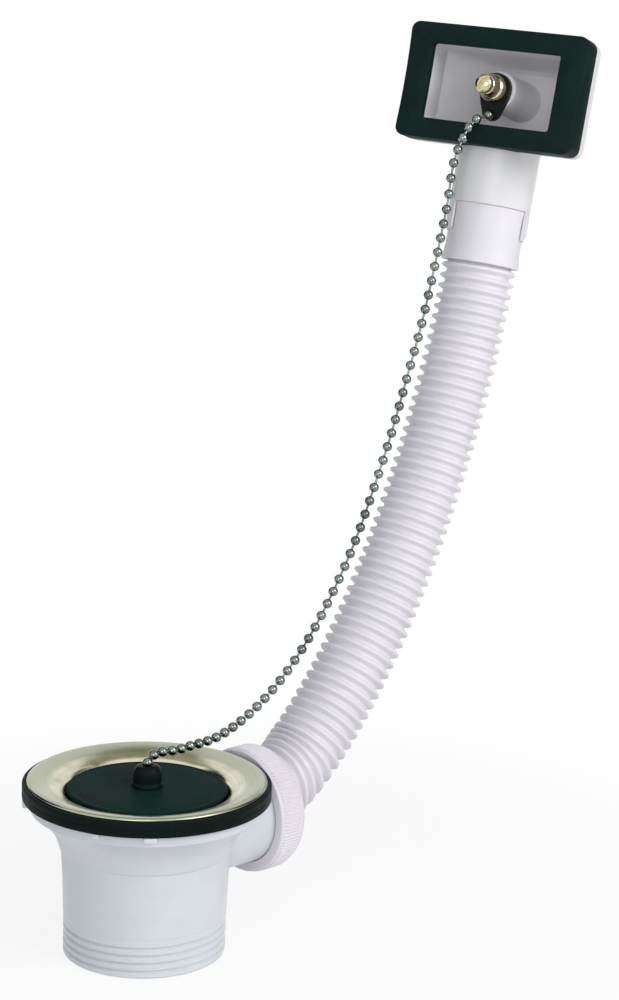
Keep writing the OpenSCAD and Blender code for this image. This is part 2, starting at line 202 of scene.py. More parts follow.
# %% Shader group: moulded skin
def make_moulded_skin():
    """Puts out a height for the skin, and a soft mask for the tint."""
    tree, given, result = group_tree(
        "ShaderNodeTree",
        "moulded_skin",
        [("Grain Size", "NodeSocketFloat", 0.4), ("Flow Size", "NodeSocketFloat", 14.0)],
        [("Height", "NodeSocketFloat"), ("Tint", "NodeSocketFloat"), ("Scuff", "NodeSocketFloat")],
    )
    place = add(tree, "ShaderNodeTexCoord").outputs["Object"]
    per_metre = calc(tree, "DIVIDE", 1000.0, given["Grain Size"])
    fine = add(tree, "ShaderNodeTexNoise", {"Vector": place, "Scale": per_metre, "Detail": 3.0})
    flow_scale = calc(tree, "DIVIDE", 1000.0, given["Flow Size"])
    flow = add(tree, "ShaderNodeTexNoise", {"Vector": place, "Scale": flow_scale, "Detail": 2.0})
    scuffs = add(
        tree, "ShaderNodeTexNoise", {"Vector": place, "Scale": 420.0, "Detail": 6.0, "Distortion": 1.5}
    )
    height = calc(tree, "MULTIPLY_ADD", flow.outputs["Fac"], 2.0, fine.outputs["Fac"])
    tree.links.new(height, result["Height"])
    tree.links.new(ramp(tree, flow.outputs["Fac"], 0.3, 0.7), result["Tint"])
    tree.links.new(ramp(tree, scuffs.outputs["Fac"], 0.62, 0.72), result["Scuff"])
    return tree


moulded_skin = make_moulded_skin()
print("group", moulded_skin.name, [s.name for s in moulded_skin.interface.items_tree])

# %% [markdown]
# ## What turned and spun metal shares
# The flange is spun and its rim polished on a lathe, and the screws are turned. Each shows hair
# lines that run round its axis. A noise that reads only the distance from the axis and the
# height draws them. The axis is Z through the origin, which is the waste's own.


# %% Shader group: lines round an axis
def make_turned_lines():
    """Fine lines round Z, from the distance to the axis and the height along it."""
    tree, given, result = group_tree(
        "ShaderNodeTree",
        "turned_lines",
        [("Vector", "NodeSocketVector", None), ("Line Width", "NodeSocketFloat", 0.15)],
        [("Height", "NodeSocketFloat"), ("Streak", "NodeSocketFloat"), ("Stain", "NodeSocketFloat")],
    )
    apart = add(tree, "ShaderNodeSeparateXYZ", {0: given["Vector"]})
    radius = round_z(tree, given["Vector"], "LENGTH")
    across = calc(tree, "MULTIPLY_ADD", apart.outputs["Z"], 1.3, radius)
    per_metre = calc(tree, "DIVIDE", 1000.0, given["Line Width"])
    lines = add(
        tree,
        "ShaderNodeTexNoise",
        {"W": across, "Scale": per_metre, "Detail": 4.0, "Roughness": 0.7},
        noise_dimensions="1D",
    )
    angle = calc(tree, "ARCTAN2", apart.outputs["Y"], apart.outputs["X"])
    strip = add(tree, "ShaderNodeCombineXYZ", {0: calc(tree, "MULTIPLY", across, 900.0), 1: angle})
    broken = add(tree, "ShaderNodeTexNoise", {"Vector": strip.outputs[0], "Scale": 1.2, "Detail": 5.0})
    stain = add(tree, "ShaderNodeTexNoise", {"Vector": given["Vector"], "Scale": 70.0, "Detail": 4.0})
    tree.links.new(lines.outputs["Fac"], result["Height"])
    tree.links.new(ramp(tree, broken.outputs["Fac"], 0.35, 0.7), result["Streak"])
    tree.links.new(ramp(tree, stain.outputs["Fac"], 0.42, 0.68), result["Stain"])
    return tree


turned_lines = make_turned_lines()
print("group", turned_lines.name)

# %% [markdown]
# ## From group to material
# A material keeps its own Principled shader, and only colours, masks and normals come out of
# the groups. These helpers write what every material of a family has in common.


# %% Material helpers
def new_material(name):
    """An empty material with a Principled shader on its output."""
    material = bpy.data.materials.new(name)
    material.use_nodes = True
    tree = material.node_tree
    tree.nodes.clear()
    shader = add(tree, "ShaderNodeBsdfPrincipled")
    add(tree, "ShaderNodeOutputMaterial", {"Surface": shader.outputs[0]})
    return material, tree, shader


def feed(tree, shader, **links):
    """Links sockets to the shader's inputs, with _ for a space in the input's name."""
    for name, socket in links.items():
        tree.links.new(socket, shader.inputs[name.replace("_", " ")])


def mix(tree, share, low, high):
    """Mixes two colours by a mask. A colour is given as a value or as a socket."""
    node = add(tree, "ShaderNodeMix", data_type="RGBA")
    for number, value in ((0, share), (6, low), (7, high)):
        if isinstance(value, bpy.types.NodeSocket):
            tree.links.new(value, node.inputs[number])
        else:
            node.inputs[number].default_value = value
    return node.outputs[2]


def bump(tree, height, distance_mm):
    """A normal from a height in millimetres."""
    inputs = {"Height": height, "Distance": distance_mm * MM, "Strength": 1.0}
    return add(tree, "ShaderNodeBump", inputs).outputs["Normal"]


def rgb(red, green, blue):
    """A colour as seen on a screen, 0 to 255, brought to linear light."""
    linear = [
        c / 12.92 if c <= 0.04045 else ((c + 0.055) / 1.055) ** 2.4
        for c in (red / 255, green / 255, blue / 255)
    ]
    return (*linear, 1.0)


# %% [markdown]
# ## White polypropylene
# The body, nut, hose and head are unpainted polypropylene: a cool white with a violet cast, a
# waxy gloss and a little light inside the wall. Subsurface gives that inner light. The hose is
# blow moulded and softer in gloss than the body. The body is a shade bluer than the rest, and the
# head a shade less violet.


# %% White mouldings
SCUFF_SHARE = 0.06
INNER_LIGHT_MM = 1.2


def polymer(name, bright, dim, rough, grain_mm, depth_mm, inside=0.12):
    """A moulded white plastic, from its two tints, its gloss and its skin."""
    material, tree, shader = new_material(name)
    skin = add(tree, "ShaderNodeGroup", node_tree=moulded_skin)
    skin.inputs["Grain Size"].default_value = grain_mm
    tint = mix(tree, skin.outputs["Tint"], dim, bright)
    worn = mix(tree, calc(tree, "MULTIPLY", skin.outputs["Scuff"], SCUFF_SHARE), tint, rgb(190, 192, 192))
    gloss = ramp(tree, skin.outputs["Tint"], 0.0, 1.0, rough + 0.05, rough - 0.04)
    gloss = calc(tree, "MULTIPLY_ADD", skin.outputs["Scuff"], SCUFF_SHARE, gloss)
    feed(tree, shader, Base_Color=worn, Roughness=gloss)
    feed(tree, shader, Normal=bump(tree, skin.outputs["Height"], depth_mm))
    shader.inputs["Subsurface Weight"].default_value = inside
    shader.inputs["Subsurface Radius"].default_value = (1.0, 0.9, 0.9)
    shader.inputs["Subsurface Scale"].default_value = INNER_LIGHT_MM * MM
    shader.inputs["IOR"].default_value = 1.49
    return material


body_white = polymer("body_polymer", rgb(219, 220, 228), rgb(214, 217, 223), 0.34, 0.5, 0.012)
head_white = polymer("head_polymer", rgb(231, 228, 232), rgb(227, 225, 228), 0.38, 0.5, 0.012)
cuff_white = polymer("cuff_polymer", rgb(232, 227, 235), rgb(229, 225, 232), 0.42, 0.6, 0.014)
hose_white = polymer("hose_polymer", rgb(233, 228, 236), rgb(229, 225, 233), 0.40, 0.7, 0.02, 0.2)
nut_white = polymer("nut_polymer", rgb(232, 225, 233), rgb(228, 222, 230), 0.42, 0.5, 0.012)
print("white mouldings:", [m.name for m in bpy.data.materials if "polymer" in m.name])

# %% [markdown]
# ## Black rubber
# The plug, the washers and the gasket are black rubber with a green cast. Rubber is never
# mirror-smooth: it has a dull skin, a pale bloom where wax has come to the surface, and specks
# of dust. The bloom is a mask that lifts the colour and takes away gloss.


# %% Rubber
DUST_SHARE = 0.12


def rubber(name, colour, bloom_colour, rough, bloom, shine=0.1, depth_mm=0.03):
    """Black rubber, from its colour, its bloom, its gloss and how much it reflects."""
    material, tree, shader = new_material(name)
    skin = add(tree, "ShaderNodeGroup", node_tree=moulded_skin)
    skin.inputs["Grain Size"].default_value = 0.35
    skin.inputs["Flow Size"].default_value = 9.0
    share = calc(tree, "MULTIPLY", skin.outputs["Tint"], bloom)
    misty = mix(tree, share, colour, bloom_colour)
    dusty = mix(tree, calc(tree, "MULTIPLY", skin.outputs["Scuff"], DUST_SHARE), misty, rgb(60, 76, 72))
    gloss = ramp(tree, skin.outputs["Tint"], 0.0, 1.0, rough - 0.05, rough + 0.08)
    feed(tree, shader, Base_Color=dusty, Roughness=gloss)
    feed(tree, shader, Normal=bump(tree, skin.outputs["Height"], depth_mm))
    shader.inputs["Specular IOR Level"].default_value = shine
    return material


washer_black = rubber("washer_rubber", rgb(10, 20, 19), rgb(15, 28, 26), 0.5, 0.5, 0.06)
plug_black = rubber("plug_rubber", rgb(15, 36, 33), rgb(27, 54, 48), 0.45, 0.7, 0.01)
knob_black = rubber("knob_rubber", rgb(8, 21, 21), rgb(13, 33, 31), 0.36, 0.4, 0.06, 0.015)
gasket_black = rubber("gasket_rubber", rgb(12, 32, 30), rgb(18, 42, 39), 0.52, 0.6, 0.08)
stay_black = rubber("stay_plastic", rgb(8, 18, 17), rgb(14, 29, 26), 0.3, 0.3, 0.12, 0.008)
print("rubbers:", [m.name for m in (washer_black, plug_black, knob_black, gasket_black, stay_black)])

# %% [markdown]
# ## Metals
# The flange is polished stainless steel with spun lines, and its outer rim has a painted
# reflection: a darker olive in its colour. The chain is chrome, with a dark tint so that its balls
# stand out in a white room. The overflow's screw and collar are nickel over brass, so they look
# warmer. All are fully metallic; they differ in tint, in how blurred they reflect, and in how
# strong the turned lines are.


# %% Metals
STREAK_SHARE = 0.18


def metal(name, bright, dull, rough, line_mm, depth_mm, painted_rim_reflection=None):
    """A turned or spun metal. Past the radius given with the painted rim reflection, in mm, it takes that
    reflection's colour.
    """
    material, tree, shader = new_material(name)
    place = add(tree, "ShaderNodeTexCoord").outputs["Object"]
    lines = add(tree, "ShaderNodeGroup", {"Vector": place, "Line Width": line_mm}, node_tree=turned_lines)
    # Painted reflection: past the radius, the colour turns to the rim's darker olive.
    if painted_rim_reflection is not None:
        from_mm, colour = painted_rim_reflection
        radius = round_z(tree, place, "LENGTH")
        bright = mix(tree, ramp(tree, radius, (from_mm - 1) * MM, (from_mm + 1) * MM), bright, colour)
    tinted = mix(tree, lines.outputs["Stain"], bright, dull)
    streaked = mix(tree, calc(tree, "MULTIPLY", lines.outputs["Streak"], STREAK_SHARE), tinted, dull)
    gloss = ramp(tree, lines.outputs["Streak"], 0.0, 1.0, rough * 0.85, rough * 1.25)
    feed(tree, shader, Base_Color=streaked, Roughness=gloss)
    feed(tree, shader, Normal=bump(tree, lines.outputs["Height"], depth_mm))
    shader.inputs["Metallic"].default_value = 1.0
    return material


# The flange's outer rim, past 28.5 mm, has a painted reflection: a darker olive colour.
flange_steel = metal(
    "flange_steel", rgb(222, 216, 196), rgb(168, 171, 148), 0.2, 0.25, 0.004, (28.5, rgb(176, 180, 160))
)
screw_steel = metal("screw_steel", rgb(205, 205, 200), rgb(180, 180, 172), 0.25, 0.2, 0.004)
chain_chrome = metal("chain_chrome", rgb(134, 143, 138), rgb(92, 101, 96), 0.06, 0.4, 0.001)
nickel = metal("nickel_plate", rgb(226, 218, 190), rgb(196, 186, 148), 0.12, 0.2, 0.002)
insert_brass = metal("insert_brass", rgb(214, 180, 110), rgb(180, 148, 84), 0.3, 0.2, 0.003)
print("metals:", [m.name for m in (flange_steel, screw_steel, chain_chrome, nickel, insert_brass)])

# %% [markdown]
# ## Round pieces from an outline
# Nearly everything here is round, so its shape is one outline turned about an axis. A moulded or
# pressed corner is never knife sharp: it catches a line of light. Each corner of an outline can
# carry a radius, and the outline is rounded before it is turned.


# %% Outlines and lathe
def rounded(outline, steps=5):
    """Rounds the corners of a closed outline. A point is (x, y) or (x, y, size of the rounding)."""
    points = []
    for i, corner in enumerate(outline):
        here = Vector(corner[:2])
        if len(corner) == 2:
            points.append(here)
            continue
        to_last = Vector(outline[i - 1][:2]) - here
        to_next = Vector(outline[(i + 1) % len(outline)][:2]) - here
        start = here + to_last.normalized() * min(corner[2], to_last.length * 0.49)
        end = here + to_next.normalized() * min(corner[2], to_next.length * 0.49)
        for k in range(steps + 1):
            t = k / steps
            points.append(start.lerp(here, t).lerp(here.lerp(end, t), t))
    return points


def cube(size, place):
    """A box of a size, put in place from the origin."""
    shape = bmesh.new()
    bmesh.ops.create_cube(shape, size=1)
    shape.transform(place @ Matrix.Diagonal((*size, 1)))
    return shape


def join_loops(shape, loops, closed=False):
    """Walls between loops of points. The last joins the first if closed, or else both get a lid."""
    rings = [[shape.verts.new(p) for p in loop] for loop in loops]
    pairs = list(zip(rings, rings[1:]))
    if closed:
        pairs.append((rings[-1], rings[0]))
    for a, b in pairs:
        for i in range(len(a)):
            shape.faces.new((a[i - 1], a[i], b[i], b[i - 1]))
    if not closed:
        shape.faces.new(rings[0])
        shape.faces.new(rings[-1])


def to_object(name, shape, place):
    """A bmesh becomes an object with its place in its mesh, outside faces pointing out."""
    bmesh.ops.remove_doubles(shape, verts=shape.verts, dist=1e-4)
    bmesh.ops.recalc_face_normals(shape, faces=shape.faces)
    shape.transform(place)
    mesh = bpy.data.meshes.new(name)
    shape.to_mesh(mesh)
    shape.free()
    made = bpy.data.objects.new(name, mesh)
    bpy.context.collection.objects.link(made)
    return made


def lathe(name, outline, place, sides=160):
    """Turns a closed outline of (radius, height) about Z."""
    points = rounded(outline)
    shape = bmesh.new()
    rings = []
    for j in range(sides):
        angle = j * math.tau / sides
        rings.append([(p.x * math.cos(angle), p.x * math.sin(angle), p.y) for p in points])
    join_loops(shape, rings, closed=True)
    bmesh.ops.remove_doubles(shape, verts=shape.verts, dist=1e-4)
    bmesh.ops.dissolve_degenerate(shape, edges=shape.edges, dist=1e-5)
    return to_object(name, shape, place)


def plain_mesh(thing):
    """Bakes an object's modifiers into its mesh."""
    seen = thing.evaluated_get(bpy.context.evaluated_depsgraph_get())
    mesh = bpy.data.meshes.new_from_object(seen)
    mesh.name = thing.name
    thing.modifiers.clear()
    thing.data = mesh
    return thing


def carve(base, tools, operation="DIFFERENCE"):
    """Cuts tools out of base, or joins them to it, and uses the tools up."""
    for tool in tools:
        change = base.modifiers.new("carve", "BOOLEAN")
        change.operation = operation
        change.solver = "EXACT"
        change.object = tool
        plain_mesh(base)
        bpy.data.objects.remove(tool)
    return base


def dress(name, material):
    """Gives a solid of the model its finish, where the solid itself is what is seen."""
    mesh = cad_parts[name].data
    mesh.materials.clear()
    mesh.materials.append(material)


def done(piece, material, slot, *nodes, sharp=32):
    """Finishes a piece: material, soft shading, the body it rides on, and hiding the model's solids it stands
    for.
    """
    piece.data.materials.clear()
    piece.data.materials.append(material)
    piece.data.shade_smooth()
    piece.data.set_sharp_from_angle(angle=math.radians(sharp))
    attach(piece, "root")
    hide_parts(*nodes)
    low, high = (f(v.co.z for v in piece.data.vertices) / MM for f in (min, max))
    print(f"{piece.name}: {len(piece.data.polygons)} faces, z {low:.1f} to {high:.1f} mm")
    return piece


# %% [markdown]
# ## Holes and arms round an axis
# The drain holes and the hub's arms stand in a ring. A Geometry Nodes tree puts one shape on
# the points of a circle, turned to face out, so their count is one slider.


# %% Geometry Nodes: a ring of one shape
def make_ring_of():
    """Instances a mesh on the points of a circle, each turned about Z to face outwards."""
    tree, given, result = shape_tree(
        "ring_of",
        [
            ("Count", "NodeSocketInt", 8),
            ("Radius", "NodeSocketFloat", 0.01),
            ("First Angle", "NodeSocketFloat", 0.0),
        ],
    )
    ring = add(tree, "GeometryNodeMeshCircle", {"Vertices": given["Count"], "Radius": given["Radius"]})
    step = calc(tree, "DIVIDE", math.tau, given["Count"])
    number = add(tree, "GeometryNodeInputIndex").outputs[0]
    turn = add(tree, "ShaderNodeCombineXYZ", {2: calc(tree, "MULTIPLY", number, step)})
    placed = add(
        tree,
        "GeometryNodeInstanceOnPoints",
        {"Points": ring.outputs["Mesh"], "Instance": given["Geometry"], "Rotation": turn.outputs[0]},
    )
    real = add(tree, "GeometryNodeRealizeInstances", {0: placed.outputs[0]})
    start = add(tree, "ShaderNodeCombineXYZ", {2: given["First Angle"]})
    turned = add(tree, "GeometryNodeTransform", {"Geometry": real.outputs[0], "Rotation": start.outputs[0]})
    return hand_over(tree, turned.outputs[0], given, result)


ring_of = make_ring_of()


def grown(thing, tree, **values):
    """Runs a Geometry Nodes tree on an object with these inputs, and keeps the plain mesh."""
    modifier = thing.modifiers.new(tree.name, "NODES")
    modifier.node_group = tree
    sockets = {s.name: s.identifier for s in tree.interface.items_tree if s.in_out == "INPUT"}
    for name, value in values.items():
        modifier[sockets[name.replace("_", " ")]] = value
    return plain_mesh(thing)


# %% [markdown]
# ## The steel flange
# One disc of thin sheet is pressed into a cup with a rolled rim, and its floor is punched to
# make the grid. The rim is a little dished towards the plug's seat, which bends the reflections
# round the plug; the olive band there is partly that reflection and partly a painted reflection,
# a darker olive in the outer rim's colour.


# %% Flange
SHEET = 0.9
STEEL = [
    (0, -16.4), (17.4, -16.1, 2), (21.2, -13.8, 2.4), (23.0, -5.4, 2), (24.6, -3.0, 1.6),
    (28.6, -1.2, 3), (32.6, -0.05, 1.6), (34.3, 0, 0.8), (35, -0.5, 0.35), (34.9, -1, 0.1),
    (33.4, -1, 0.6), (28.3, -1.7 - SHEET, 3), (25.6, -2.9 - SHEET, 1.6), (24.0, -5.4 - SHEET, 2),
    (22.2, -14 - SHEET, 2), (18, -16.9 - SHEET, 2), (0, -17.3 - SHEET),
]
GRID_HOLES = 8
GRID_R = 12.6
flange = lathe("steel_flange", STEEL, upright, sides=192)
punch = lathe("punch", [(0, -20), (3, -20), (3, -12), (0, -12)], upright, sides=48)
grown(punch, ring_of, Count=GRID_HOLES, Radius=GRID_R * MM, First_Angle=math.pi / GRID_HOLES)
middle = lathe("middle_punch", [(0, -20), (3.2, -20), (3.2, -12), (0, -12)], upright, sides=48)
carve(flange, [punch, middle])
done(flange, flange_steel, "steel", "flange")

# %% [markdown]
# ## The screw in the grid
# A round-headed screw pulls the flange down onto the body. Its slot is cut after turning, and
# its thread is hidden in the hub, so its shaft is plain.


# %% Flange screw
FLANGE_SCREW = [
    (0, -14.2), (2.6, -14.4, 1), (4.8, -15.1, 0.8), (5.4, -16.2, 0.1), (2.9, -16.2, 0.2),
    (2.9, -38, 0.3), (2.2, -38.8, 0.2), (0, -38.8),
]


def slot_cutter(length, width, depth, angle=0.0, height=0.0):
    """A box that cuts a screwdriver slot across an axis."""
    return cube((length, width, depth), Matrix.Translation((0, 0, height)) @ Matrix.Rotation(angle, 4, "Z"))


flange_screw = lathe("flange_screw_head", FLANGE_SCREW, upright, sides=64)
carve(flange_screw, [to_object("slot", slot_cutter(14, 1.2, 3, 0, -14.1), upright)])
done(flange_screw, screw_steel, "steel_screw", "flange_screw")
dress("insert_nut", insert_brass)
dress("boss_insert", insert_brass)

# %% [markdown]
# ## Two rubber washers
# One seals under the steel, inside the bowl, and the other sits below the bowl's sheet. With no
# sink between them they lie on each other and read as one black band with a fine line in it.


# %% Washers
WASHER_R = 36.28
WASHER_T = 2.18
upper = lathe(
    "upper_seal",
    [
        (WASHER_R, -1.0, 0.5), (33.4, -1.0), (28.3, -1.7 - SHEET), (27.4, -1 - WASHER_T),
        (WASHER_R, -1 - WASHER_T, 0.2),
    ],
    upright,
    sides=192,
)
lower = lathe(
    "lower_seal",
    [
        (27.4, -1 - 2 * WASHER_T), (WASHER_R, -1 - 2 * WASHER_T, 0.45),
        (WASHER_R, -1 - WASHER_T, 0.2), (27.4, -1 - WASHER_T),
    ],
    upright,
    sides=192,
)
done(upper, washer_black, "washer_rubber", "upper_washer")
done(lower, washer_black, "washer_rubber", "lower_washer")
dress("branch_seal", washer_black)

# %% [markdown]
# ## The thread on the outlet
# The outlet ends in a shallow moulded pipe thread, eleven turns to the inch, and the trap's nut
# screws onto it. Four grooves show. The wall is turned with closely spaced rings, and a tree
# presses the groove into it by a rule: the height in pitches minus the angle in turns.


# %% Geometry Nodes: a thread in a wall
def make_threaded():
    """Presses a helical groove into the outside of a wall that stands on z = 0."""
    tree, given, result = shape_tree(
        "threaded",
        [
            ("Pitch", "NodeSocketFloat", 0.002309),
            ("Depth", "NodeSocketFloat", 0.0008),
            ("Wall Radius", "NodeSocketFloat", 0.023),
            ("Length", "NodeSocketFloat", 0.0112),
            ("Start", "NodeSocketFloat", 0.347),
        ],
    )
    place = add(tree, "GeometryNodeInputPosition").outputs[0]
    apart = add(tree, "ShaderNodeSeparateXYZ", {0: place}).outputs
    turns = calc(tree, "DIVIDE", calc(tree, "ARCTAN2", apart["Y"], apart["X"]), math.tau)
    phase = calc(tree, "SUBTRACT", calc(tree, "DIVIDE", apart["Z"], given["Pitch"]), turns)
    phase = calc(tree, "FRACT", calc(tree, "SUBTRACT", phase, given["Start"]))
    from_crest = calc(tree, "MULTIPLY", calc(tree, "ABSOLUTE", calc(tree, "SUBTRACT", phase, 0.5)), 2.0)
    groove = ramp(tree, from_crest, 0.45, 0.98)
    last_turn = calc(tree, "SUBTRACT", given["Length"], given["Pitch"])
    fade = ramp(tree, apart["Z"], last_turn, given["Length"], 1.0, 0.0)
    depth = calc(tree, "MULTIPLY", calc(tree, "MULTIPLY", groove, fade), given["Depth"])
    moved = push_out(tree, given, place, calc(tree, "MULTIPLY", depth, -1.0))
    return hand_over(tree, moved, given, result)


threaded = make_threaded()

# %% [markdown]
# ## The body
# The body is one moulding: a bowl-shaped top that carries the washers, a straight outlet and a
# side branch. Inside, three arms hold a hub with a brass nut for the flange's screw. Under the
# washers a grip lug shows at the left and two low ones at the front. The body is turned, then the
# branch is joined to it and the bores are cut.


# %% Body
RIM = -1 - 2 * WASHER_T
END = -52.4
THREAD_TOP = -40.6
THREAD_STEP = 0.16
LUG_DEPTH = 5
thread_rows = [
    (23.9, THREAD_TOP - i * THREAD_STEP)
    for i in range(1, int((THREAD_TOP - END - 0.5) / THREAD_STEP))
]
BODY_OUTSIDE = [
    (0, RIM), (34.1, RIM, 0.4), (33.9, -8.9, 0.5), (32.9, -9.0, 0.9), (27.2, -14.6, 3.5),
    (25.3, -20.4, 0.25), (24.95, -20.7, 0.25), (24.4, -27, 4), (24.0, -40.2, 0.15), (23.9, -40.5),
    *thread_rows, (23.9, END, 0.5), (0, END),
]
CHAMBER = [
    (0, 2), (27, 2), (27, -6.4, 1), (24.6, -12, 3), (21.9, -26, 4), (20.7, -41, 0.5), (20.5, END - 1),
    (0, END - 1),
]


def rod_along(name, x_from, x_to, radius, sides=96, edge=0.0):
    """A cylinder along the side branch."""
    ends = [(0, x_from), (radius, x_from, edge), (radius, x_to, edge), (0, x_to)]
    return lathe(name, ends, along_branch, sides)


def block(name, low, high, place=upright):
    """A box from corner to corner, in millimetres."""
    low, high = Vector(low), Vector(high)
    return to_object(name, cube(high - low, Matrix.Translation((low + high) / 2)), place)


def lug(azimuth, half_width, reach, tall):
    """A grip lug under the rim: a block with soft edges that ends at a radius."""
    width = reach * math.tan(math.radians(half_width))
    turn = upright @ Matrix.Rotation(math.radians(azimuth), 4, "Z")
    middle = Matrix.Translation((reach - LUG_DEPTH / 2, 0, RIM - tall / 2))
    shape = cube((LUG_DEPTH, 2 * width, tall), middle)
    bmesh.ops.bevel(shape, geom=shape.edges[:], offset=0.35, segments=3, profile=0.5, affect="EDGES")
    return to_object("lug", shape, turn)


body = lathe("body_moulding", BODY_OUTSIDE, upright, sides=224)
grown(body, threaded, Pitch=2.309 * MM, Depth=0.8 * MM, Wall_Radius=23 * MM, Length=11.4 * MM)
branch = rod_along("branch", 20, 44, 15.6, 128, 0.5)
carve(branch, [block("level", (0, -30, -8.4), (36.8, 30, 10))])
carve(body, [branch, lug(147, 2.6, 36.2, 2.4), lug(207, 1.6, 36.1, 1.6), lug(232, 3.0, 36.1, 1.6)], "UNION")
carve(
    body,
    [
        lathe("chamber", CHAMBER, upright, 128),
        rod_along("bore", 18, 58, 8.4, 64),
        rod_along("mouth", 40, 50, 11, 64),
    ],
)
hub = lathe("hub", [(0, -34.5), (7, -34.5, 0.6), (7, -19.7, 0.6), (0, -19.7)], upright, 64)
arm = block("arm", (0, -1.4, -33.5), (22.8, 1.4, -22))
grown(arm, ring_of, Count=3, Radius=0.0, First_Angle=math.pi)
carve(hub, [arm], "UNION")
carve(
    hub,
    [
        lathe("nut_seat", [(0, -33), (5.06, -33), (5.06, -21), (0, -21)], upright, 48),
        lathe("hub_bore", [(0, -40), (3.1, -40), (3.1, -16), (0, -16)], upright, 48),
    ],
)
carve(body, [hub], "UNION")
done(body, body_white, "white_polymer", "waste_body")

# %% [markdown]
# ## The plug and its knob
# The plug is a thick rubber disc with a thin lip that seals on the steel. The knob is a separate
# rubber button pushed through its middle, and the chain's first ball is held in its top.


# %% Plug and knob
PLUG = [
    (1.6, -2.5), (19, -2.6, 3), (21.9, -2.85, 0.5), (22.9, -2.65, 0.4), (23.4, -3.1, 0.3),
    (23.3, -3.8, 0.3), (22.6, -4.8, 0.6), (21.9, -7.6, 1), (21.2, -12.4, 0.8), (17.4, -12.4, 0.6),
    (17.0, -7.4, 1.2), (4.4, -6.6, 1), (4.4, -9.6, 0.3), (1.6, -9.6),
]
KNOB = [
    (0, 3.05), (1.1, 3.35, 0.5), (1.9, 4.0, 0.4), (3.3, 3.7, 1.0), (4.1, 2.2, 1.2),
    (4.25, 0.2, 1.2), (4.2, -1.1, 0.3), (4.6, -1.5, 0.35), (4.65, -2.5, 0.2), (1.5, -2.5),
    (1.5, -9.6), (2.8, -9.6, 0.2), (2.8, -10.8, 0.4), (0, -10.8),
]
plug = lathe("rubber_plug", PLUG, upright, sides=160)
knob = lathe("rubber_knob", KNOB, upright, sides=96)
done(plug, plug_black, "plug_rubber", "plug")
done(knob, knob_black, "knob_rubber", "plug_knob")

# %% [markdown]
# ## The ball chain
# The chain is 61 hollow balls crimped on short wires. It lies on the plug, climbs in one sagging
# line and ends in the stay at the overflow. The route's points are every fourth ball. A tree puts
# a turned ball on each point, lined up with the chain, and sweeps the wire between them.

# %% Chain route
CHAIN_ROUTE = [
    (0, -18), (0, 4.6), (12.4, 6.5), (25.5, 7.5), (38, 12.5), (50, 21), (61, 32.5), (70.5, 46),
    (79, 61), (86, 77), (92.5, 93.5), (98, 110), (103.5, 127), (108, 144.5), (112, 162),
    (115.8, 180.2), (128.7, 190.8), (167, 184),
]
CHAIN_TURN = math.radians(-2.2)
BALL_R = 1.52
WIRE_R = 0.35


def chain_points():
    """A smooth curve through the route's points, four steps between two of them."""
    points = []
    for k in range(len(CHAIN_ROUTE) - 3):
        a, b, c, d = (Vector(p) for p in CHAIN_ROUTE[k : k + 4])
        square = 2 * a - 5 * b + 4 * c - d
        for t in (0, 0.25, 0.5, 0.75):
            points.append(b + 0.5 * t * (c - a + t * (square + t * (3 * b - a - 3 * c + d))))
    return points + [Vector(CHAIN_ROUTE[-2])]


def line_object(name, points, place):
    """A mesh of one line through points."""
    mesh = bpy.data.meshes.new(name)
    mesh.from_pydata(points, [(i, i + 1) for i in range(len(points) - 1)], [])
    mesh.transform(place)
    made = bpy.data.objects.new(name, mesh)
    bpy.context.collection.objects.link(made)
    return made


# %% Geometry Nodes: balls on a line
def make_ball_chain():
    """A ball on every point of a line, turned along it, and a wire through them."""
    tree, given, result = shape_tree(
        "ball_chain",
        [("Ball", "NodeSocketObject", None), ("Wire Radius", "NodeSocketFloat", 0.0004)],
    )
    line = add(tree, "GeometryNodeMeshToCurve", {0: given["Geometry"]}).outputs[0]
    points = add(tree, "GeometryNodeCurveToPoints", {"Curve": line}, mode="EVALUATED").outputs
    ball = add(tree, "GeometryNodeObjectInfo", {"Object": given["Ball"]}).outputs["Geometry"]
    balls = add(
        tree,
        "GeometryNodeInstanceOnPoints",
        {"Points": points["Points"], "Instance": ball, "Rotation": points["Rotation"]},
    ).outputs[0]
    circle = add(tree, "GeometryNodeCurvePrimitiveCircle", {"Resolution": 10, "Radius": given["Wire Radius"]})
    wire = add(
        tree,
        "GeometryNodeCurveToMesh",
        {"Curve": line, "Profile Curve": circle.outputs[0], "Fill Caps": True},
    ).outputs[0]
    both = add(tree, "GeometryNodeJoinGeometry")
    tree.links.new(balls, both.inputs[0])
    tree.links.new(wire, both.inputs[0])
    return hand_over(tree, both.outputs[0], given, result)


# %% Ball chain
def ball_outline(radius, hole):
    """Half a circle, flattened to a small crimped mouth where the wire goes in."""
    first = math.asin(hole / radius)
    steps = 14
    bow = [
        (radius * math.sin(first + i * (math.pi - 2 * first) / steps),
         radius * math.cos(first + i * (math.pi - 2 * first) / steps))
        for i in range(steps + 1)
    ]
    mouth = bow[0][1] - 0.22
    return [(0, mouth), (hole * 0.8, mouth), *bow, (hole * 0.8, -mouth), (0, -mouth)]


one_ball = lathe("one_ball", ball_outline(BALL_R, 0.55), Matrix.Scale(MM, 4), sides=24)
chain_place = upright @ Matrix.Rotation(CHAIN_TURN, 4, "Z")
chain = line_object("bead_chain", [(p.x, 0, p.y) for p in chain_points()], chain_place)
grown(chain, make_ball_chain(), Ball=one_ball, Wire_Radius=WIRE_R * MM)
bpy.data.objects.remove(one_ball)
done(chain, chain_chrome, "chain_chrome", "ball_chain", sharp=50)

# %% [markdown]
# ## The ribbed hose
# The hose is blow moulded in one length, with a plain spigot that pushes into the cuff. Its route
# is one cubic curve. A tree sweeps a circle along it and sets the circle's size from the length
# travelled: round ribs with narrow valleys. The nut holds the lower end flat, so the first ribs
# are leaned back towards the nut's plane. Solidify then gives the wall, ribbed inside as well.

